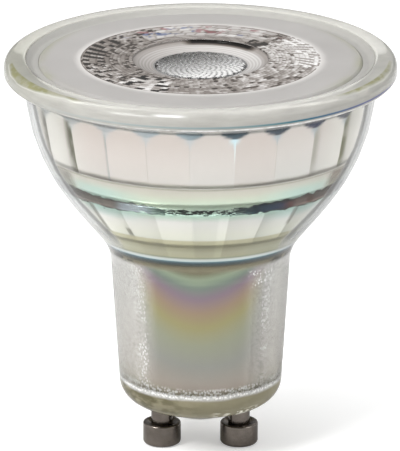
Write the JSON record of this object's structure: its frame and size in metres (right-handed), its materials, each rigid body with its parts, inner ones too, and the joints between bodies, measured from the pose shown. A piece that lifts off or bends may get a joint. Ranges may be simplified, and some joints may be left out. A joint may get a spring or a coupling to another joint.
{
  "type": "gu10 spotlight bulb",
  "caption": "Reflector spotlight bulb in pressed glass: faceted bowl, dished lens with a frosted ring, straight neck and a twist-and-lock base with mushroom-headed pins.",
  "frame": {"origin": "on the bulb's axis, level with the undersides of the two contact pins", "axes": "+Z along the bulb's axis from the pins to the lens, +X through the right-hand pin, +Y to the back of the pictured view"},
  "size_m": [0.05, 0.05, 0.0524],
  "materials": {
    "pressed_glass": "clear pressed glass with a thin pearly coating inside",
    "clear_acrylic": "clear moulded lens with a frosted outer ring",
    "clear_silicone": "clear glue bead",
    "spreader_aluminium": "stamped, satin",
    "grey_silicone": "matte soft pad",
    "white_board": "white solder mask",
    "white_ceramic": "fine matte ceramic",
    "yellow_phosphor": "soft matte phosphor",
    "screw_steel": "zinc plated",
    "white_plastic": "moulded, slightly translucent",
    "green_board": "green solder mask",
    "capacitor_sleeve": "shrunk sleeve with a bare top",
    "film_box": "moulded box",
    "fuse_ceramic": "lacquered body",
    "ferrite": "sintered ferrite",
    "winding_copper": "wound and taped",
    "black_epoxy": "moulded epoxy",
    "pin_nickel": "dull nickel plate",
    "tinned_copper": "tinned wire",
    "red_lead": "insulated wire",
    "black_lead": "insulated wire"
  },
  "bodies": {
    "root": {"glass_housing": "pressed_glass", "front_lens": "clear_acrylic", "lens_adhesive_ring": "clear_silicone", "heat_spreader": "spreader_aluminium", "thermal_pad": "grey_silicone", "led_board": "white_board", "cob_substrate": "white_ceramic", "phosphor_disc": "yellow_phosphor", "board_screws": "screw_steel", "driver_sleeve": "white_plastic", "driver_board": "green_board", "electrolytic_capacitor": "capacitor_sleeve", "film_capacitor": "film_box", "fuse_resistor": "fuse_ceramic", "transformer_core": "ferrite", "transformer_winding": "winding_copper", "bridge_rectifier": "black_epoxy", "driver_chip": "black_epoxy", "contact_pin_left": "pin_nickel", "contact_pin_right": "pin_nickel", "pin_retainer_left": "screw_steel", "pin_retainer_right": "screw_steel", "pin_lead_left": "tinned_copper", "pin_lead_right": "tinned_copper", "led_lead_positive": "red_lead", "led_lead_negative": "black_lead"}
  },
  "joints": []
}
